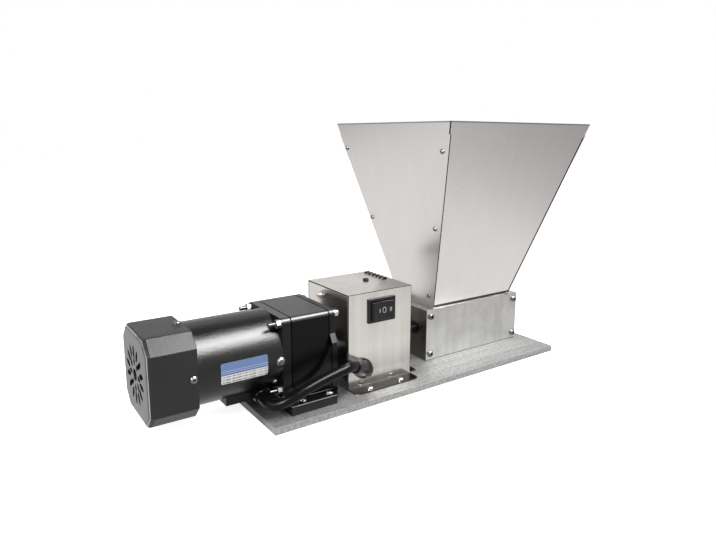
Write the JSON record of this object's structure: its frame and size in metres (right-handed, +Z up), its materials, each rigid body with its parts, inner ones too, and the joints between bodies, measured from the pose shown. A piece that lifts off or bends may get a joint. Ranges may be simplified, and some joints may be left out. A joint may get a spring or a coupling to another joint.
{
  "type": "electric grain mill",
  "caption": "Electric grain mill: a gear motor drives a two-roller crushing mill under a square sheet hopper, with a rocker switch on a control box, on one base plate.",
  "frame": {"origin": "centre of the underside of the base plate", "axes": "+X along the shafts from the motor to the mill, +Y away from the switch, +Z up"},
  "size_m": [0.591, 0.244, 0.328],
  "materials": {
    "aluminium_plate": "brushed",
    "stainless_sheet": "satin",
    "box_sheet": "brushed",
    "mill_steel": "brushed",
    "ground_steel": "ground",
    "gear_steel": "machined",
    "bright_fastener": "zinc plated",
    "dark_fastener": "blackened",
    "gloss_black": "gloss paint",
    "textured_black": "textured paint",
    "cast_light": "cast",
    "lamination": "stacked sheet",
    "copper_wire": "enamelled copper",
    "bronze": "sintered bronze",
    "black_rubber": "matte",
    "red_rubber": "matte",
    "lead_sleeve": "satin sleeve",
    "black_plastic": "moulded",
    "fan_plastic": "moulded",
    "white_plastic": "moulded",
    "label": "printed foil",
    "terminal_brass": "plated",
    "knob_black": "black anodised"
  },
  "bodies": {
    "frame": {"base_plate": "aluminium_plate", "fan_cover": "textured_black", "fan_cover_screws": "bright_fastener", "motor_housing": "gloss_black", "rear_end_shield": "cast_light", "motor_end_flange": "gloss_black", "stator_core": "lamination", "stator_windings": "copper_wire", "motor_bearings": "ground_steel", "lead_exit_box": "textured_black", "lead_gland": "bright_fastener", "motor_lead": "lead_sleeve", "nameplate": "label", "motor_side_screws": "bright_fastener", "gearbox_housing": "gloss_black", "gearbox_mid_plate": "cast_light", "through_bolts": "bright_fastener", "through_nuts": "bright_fastener", "output_bearing": "ground_steel", "shaft_seal": "black_rubber", "mounting_bracket": "textured_black", "foot_bolts": "bright_fastener", "box_cover": "box_sheet", "box_left_panel": "box_sheet", "box_right_panel": "box_sheet", "box_screws": "bright_fastener", "switch_housing": "black_plastic", "switch_terminals": "terminal_brass", "lead_boot": "black_rubber", "mains_gland": "black_plastic", "run_capacitor": "white_plastic", "capacitor_clamp": "bright_fastener", "mill_front_plate": "mill_steel", "mill_rear_plate": "mill_steel", "mill_left_plate": "mill_steel", "mill_right_plate": "mill_steel", "mill_screws": "bright_fastener", "roller_bushes": "bronze", "adjuster_lock_screws": "dark_fastener", "hopper_front_panel": "stainless_sheet", "hopper_rear_panel": "stainless_sheet", "hopper_left_panel": "stainless_sheet", "hopper_right_panel": "stainless_sheet", "hopper_screws": "bright_fastener"},
    "drive": {"output_shaft": "ground_steel", "output_gear": "gear_steel", "coupling_motor_hub": "cast_light", "coupling_mill_hub": "cast_light", "coupling_spider": "red_rubber", "coupling_set_screws": "dark_fastener", "driven_roller": "ground_steel"},
    "intermediate": {"intermediate_gear": "gear_steel"},
    "rotor": {"rotor_core": "lamination", "rotor_shaft": "gear_steel", "cooling_fan": "fan_plastic"},
    "left_adjuster": {"left_gap_adjuster": "knob_black"},
    "right_adjuster": {"right_gap_adjuster": "knob_black"},
    "idle": {"idle_roller": "ground_steel"},
    "rocker": {"switch_rocker": "black_plastic"}
  },
  "joints": [
    {"name": "output_spin", "type": "hinge", "parent": "frame", "child": "drive", "pos_m": [0, -0.0165, 0.049], "axis": [1, 0, 0], "continuous": true},
    {"name": "intermediate_spin", "type": "hinge", "parent": "frame", "child": "intermediate", "pos_m": [-0.16, 0.00519, 0.06333], "axis": [1, 0, 0], "continuous": true},
    {"name": "rotor_spin", "type": "hinge", "parent": "frame", "child": "rotor", "pos_m": [-0.25, -0.0165, 0.067], "axis": [1, 0, 0], "continuous": true},
    {"name": "left_gap_adjust", "type": "hinge", "parent": "frame", "child": "left_adjuster", "pos_m": [0.031, 0.0165, 0.0497], "axis": [1, 0, 0], "range_deg": [-60, 60]},
    {"name": "right_gap_adjust", "type": "hinge", "parent": "frame", "child": "right_adjuster", "pos_m": [0.209, 0.0165, 0.0497], "axis": [1, 0, 0], "range_deg": [-60, 60]},
    {"name": "idle_roller_spin", "type": "hinge", "parent": "left_adjuster", "child": "idle", "pos_m": [0.12, 0.0165, 0.049], "axis": [1, 0, 0], "continuous": true},
    {"name": "switch_rock", "type": "hinge", "parent": "frame", "child": "rocker", "pos_m": [-0.062, -0.062, 0.1025], "axis": [0, 0, 1], "range_deg": [-12, 12]}
  ],
  "couplings": [
    {"joint": "intermediate_spin", "follows": "output_spin", "ratio": -2.4667},
    {"joint": "rotor_spin", "follows": "output_spin", "ratio": 8.8389},
    {"joint": "right_gap_adjust", "follows": "left_gap_adjust", "ratio": 1}
  ]
}
